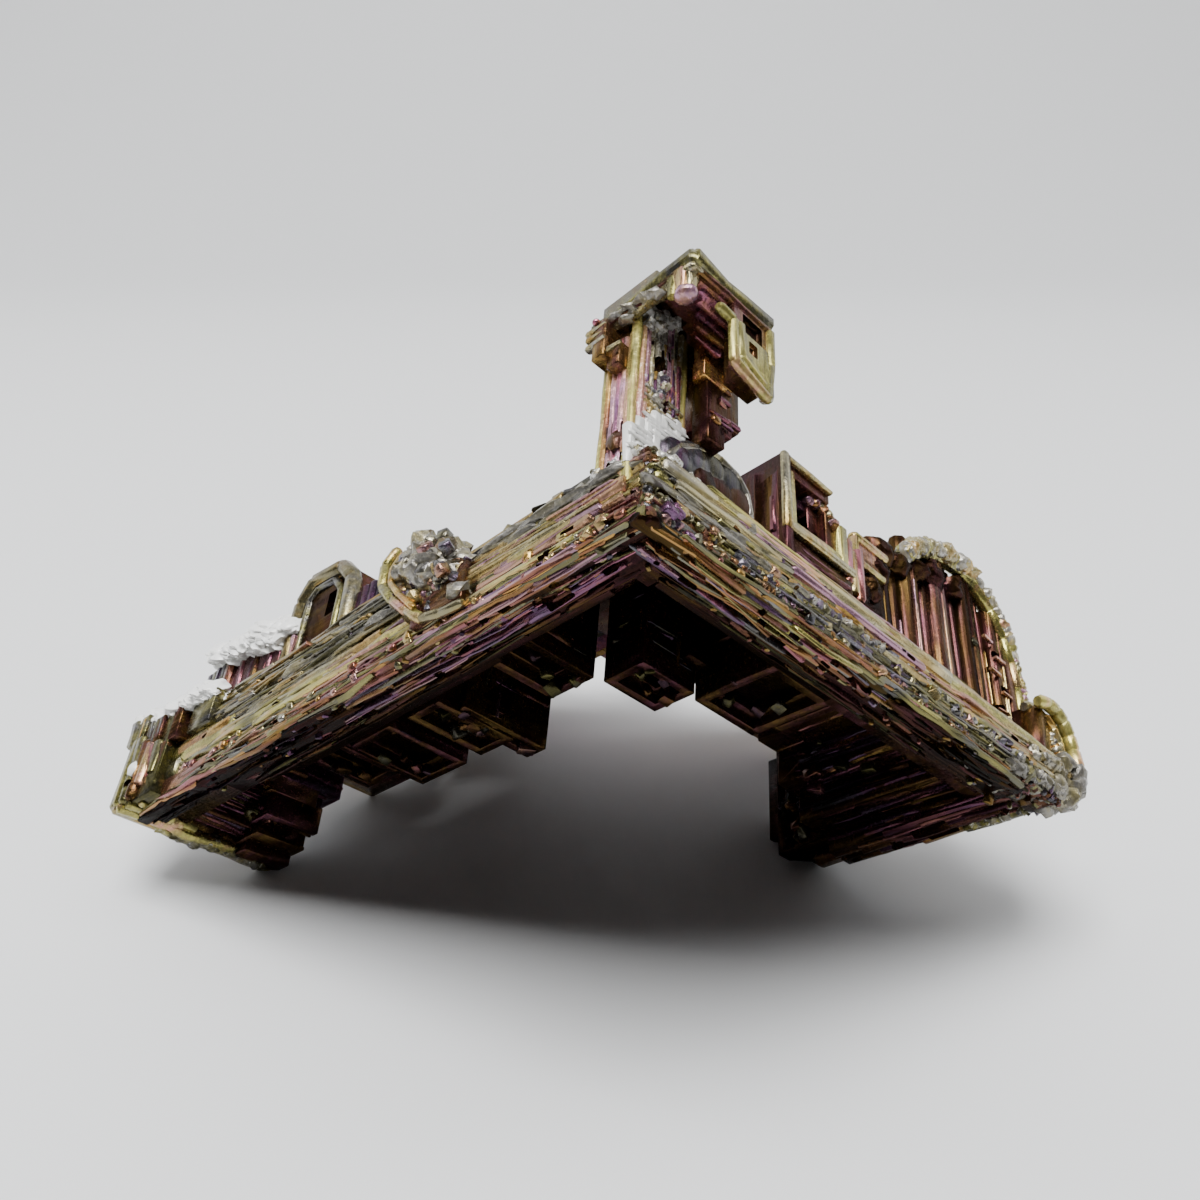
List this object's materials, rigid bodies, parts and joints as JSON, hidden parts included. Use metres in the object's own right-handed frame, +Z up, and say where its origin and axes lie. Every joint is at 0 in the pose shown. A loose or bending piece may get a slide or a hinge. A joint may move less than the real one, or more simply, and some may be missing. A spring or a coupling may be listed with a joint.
{
  "type": "bismuth hopper crystal",
  "caption": "Stepped bismuth hopper crystal: a skeletal cube corner with two long arms, a post with a small hopper cap, and terraced end walls that it stands on.",
  "frame": {"origin": "on the table, under the middle of the crystal's footprint", "axes": "+X from the left arm's end to the right arm's end, +Y from the corner towards the back, +Z up from the table"},
  "size_m": [0.0452, 0.0376, 0.0309],
  "materials": {
    "oxidised_bismuth": "satin metal with a thin iridescent oxide film of gold, olive, pink and violet, and bare silvery patches"
  },
  "bodies": {
    "root": {"bismuth_crystal": "oxidised_bismuth"}
  },
  "joints": []
}
